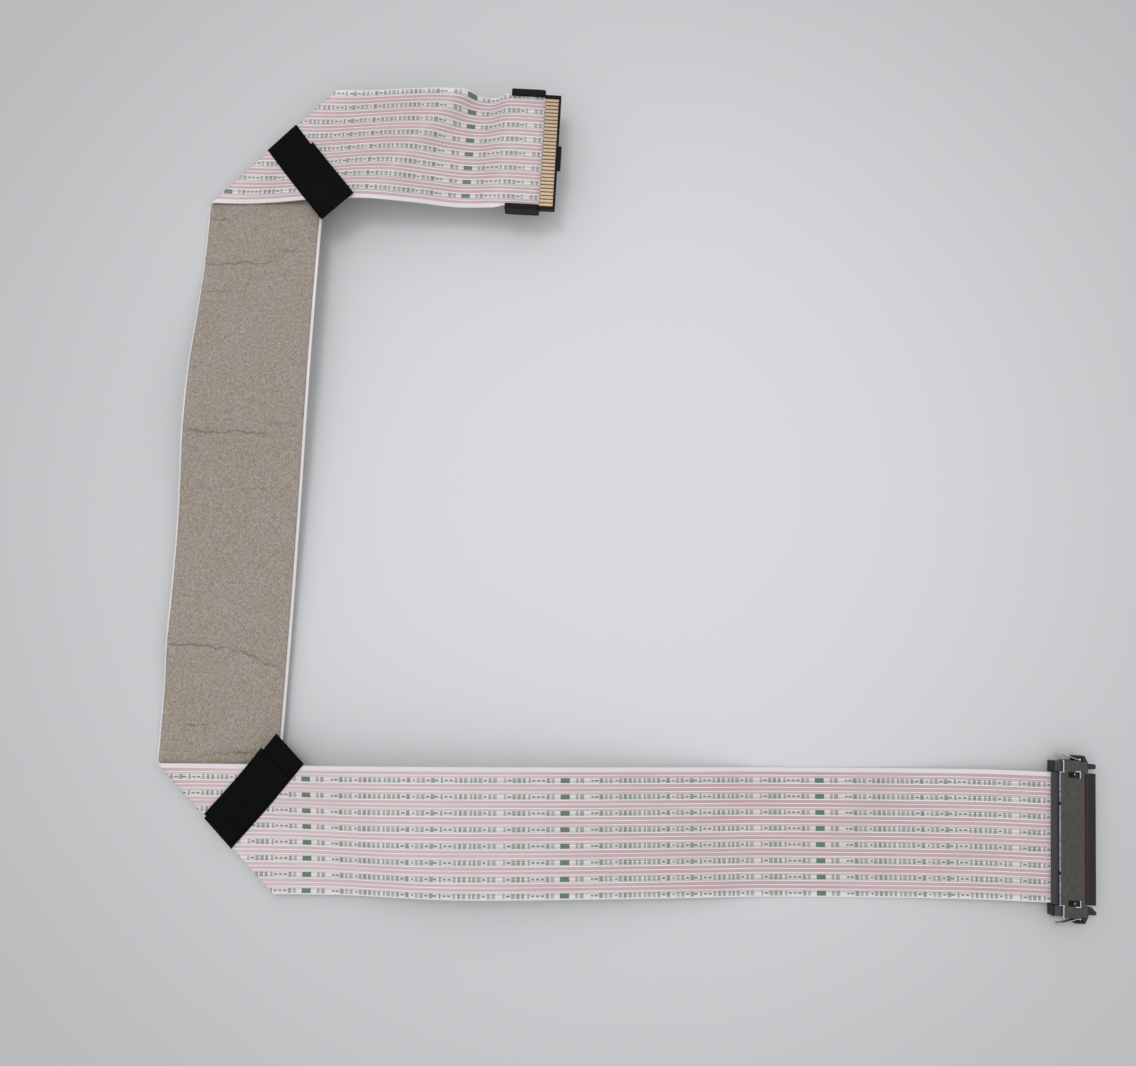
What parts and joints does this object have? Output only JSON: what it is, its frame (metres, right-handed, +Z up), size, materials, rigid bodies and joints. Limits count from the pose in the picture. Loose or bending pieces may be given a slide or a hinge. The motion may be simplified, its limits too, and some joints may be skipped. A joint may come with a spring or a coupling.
{
  "type": "flat ribbon cable",
  "caption": "Flat ribbon cable folded over twice into an S of three runs, with a latched plug at one end, a card-edge holder at the other, and a cloth-backed middle run.",
  "frame": {"origin": "middle of the plug's underside, on the surface that the cable lies on", "axes": "+X is the plug's mating direction, +Z is up, and the long run leaves the plug towards -X"},
  "size_m": [0.2375, 0.2117, 0.0111],
  "materials": {
    "ribbon": "clear film over tinned flat conductors, with rows of small green marks",
    "shield_cloth": "metallised twill with soft creases",
    "lower_fold_tape": "matte black cloth tape",
    "upper_fold_tape": "matte black cloth tape",
    "end_stiffener": "white film",
    "contact_fingers": "gilt",
    "card_edge_holder": "moulded, satin",
    "plug_housing": "moulded, satin slate",
    "clamp_bar": "moulded, satin slate",
    "plug_contacts": "gilt",
    "top_shell": "dark plated, bright sheared edges",
    "bottom_shell": "dark plated, bright sheared edges",
    "left_latch": "bright spring strip",
    "right_latch": "bright spring strip"
  },
  "bodies": {
    "cable": {"ribbon": "ribbon", "shield_cloth": "shield_cloth", "lower_fold_tape": "lower_fold_tape", "upper_fold_tape": "upper_fold_tape", "end_stiffener": "end_stiffener", "contact_fingers": "contact_fingers", "card_edge_holder": "card_edge_holder", "plug_housing": "plug_housing", "clamp_bar": "clamp_bar", "plug_contacts": "plug_contacts", "top_shell": "top_shell", "bottom_shell": "bottom_shell"},
    "left_latch": {"left_latch": "left_latch"},
    "right_latch": {"right_latch": "right_latch"}
  },
  "joints": [
    {"name": "left_latch_press", "type": "hinge", "parent": "cable", "child": "left_latch", "pos_m": [0.00178, 0.0195, 0.0023], "axis": [0, 0, 1], "range_deg": [0, 12], "stiffness_Nm_per_rad": 0.0005},
    {"name": "right_latch_press", "type": "hinge", "parent": "cable", "child": "right_latch", "pos_m": [0.00178, -0.0195, 0.0023], "axis": [0, 0, 1], "range_deg": [-12, 0], "stiffness_Nm_per_rad": 0.0005}
  ]
}
